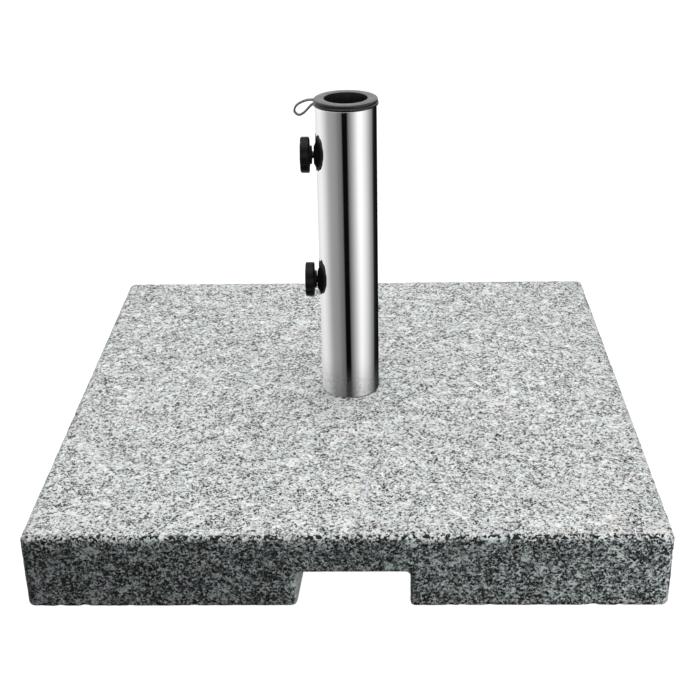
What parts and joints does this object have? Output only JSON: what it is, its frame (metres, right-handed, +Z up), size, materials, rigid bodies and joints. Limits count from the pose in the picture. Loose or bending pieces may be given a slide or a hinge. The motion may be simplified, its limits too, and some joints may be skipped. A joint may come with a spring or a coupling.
{
  "type": "parasol base",
  "caption": "Square granite parasol base with a polished steel socket tube, side thumbscrews and a tethered plastic pole reducer.",
  "frame": {"origin": "on the floor, at the centre of the square slab, which is also the tube's axis", "axes": "+Z up along the socket tube; the grip notch is in the -Y side; the thumbscrews point along -X"},
  "size_m": [0.45, 0.45, 0.3053],
  "materials": {
    "granite": "bush-textured grey speckled granite with fine matt grain",
    "rubber": "matt black rubber",
    "polished_steel": "mirror-polished stainless steel",
    "zinc_steel": "zinc-plated steel, satin",
    "black_plastic": "black moulded plastic, satin",
    "flexible_plastic": "dark grey flexible moulded plastic",
    "nylon": "natural nylon"
  },
  "bodies": {
    "root": {"granite_slab": "granite", "foot_front_left": "rubber", "foot_front_right": "rubber", "foot_rear_left": "rubber", "foot_rear_right": "rubber", "tube_gasket": "rubber", "socket_tube": "polished_steel", "tube_base_disc": "zinc_steel", "weld_nut": "zinc_steel", "plate_washer": "zinc_steel", "spring_washer": "zinc_steel", "anchor_bolt": "zinc_steel", "tube_collar": "black_plastic", "tether_strap": "flexible_plastic", "upper_saddle_boss": "black_plastic", "lower_saddle_boss": "black_plastic", "upper_rivet_nut": "zinc_steel", "lower_rivet_nut": "zinc_steel"},
    "reducer": {"reducer_insert": "black_plastic"},
    "upper_tip": {"upper_stud_tip": "nylon"},
    "upper_thumbscrew": {"upper_knob": "black_plastic", "upper_stud": "zinc_steel"},
    "lower_tip": {"lower_stud_tip": "nylon"},
    "lower_thumbscrew": {"lower_knob": "black_plastic", "lower_stud": "zinc_steel"}
  },
  "joints": [
    {"name": "reducer_lift", "type": "slide", "parent": "root", "child": "reducer", "axis": [0, 0, 1], "range_m": [0, 0.03], "deforming": ["tether_strap"]},
    {"name": "upper_screw_feed", "type": "slide", "parent": "root", "child": "upper_tip", "axis": [-1, 0, 0], "range_m": [-0.00132, 0.00852]},
    {"name": "upper_knob_turn", "type": "hinge", "parent": "upper_tip", "child": "upper_thumbscrew", "pos_m": [0, 0, 0.261], "axis": [-1, 0, 0], "range_deg": [-468, 3060]},
    {"name": "lower_screw_feed", "type": "slide", "parent": "root", "child": "lower_tip", "axis": [-1, 0, 0], "range_m": [-0.00042, 0.00942]},
    {"name": "lower_knob_turn", "type": "hinge", "parent": "lower_tip", "child": "lower_thumbscrew", "pos_m": [0, 0, 0.1573], "axis": [-1, 0, 0], "range_deg": [-144, 3384]}
  ],
  "couplings": [
    {"joint": "upper_screw_feed", "follows": "upper_knob_turn", "m_per_rad": 0.00015915},
    {"joint": "lower_screw_feed", "follows": "lower_knob_turn", "m_per_rad": 0.00015915}
  ]
}
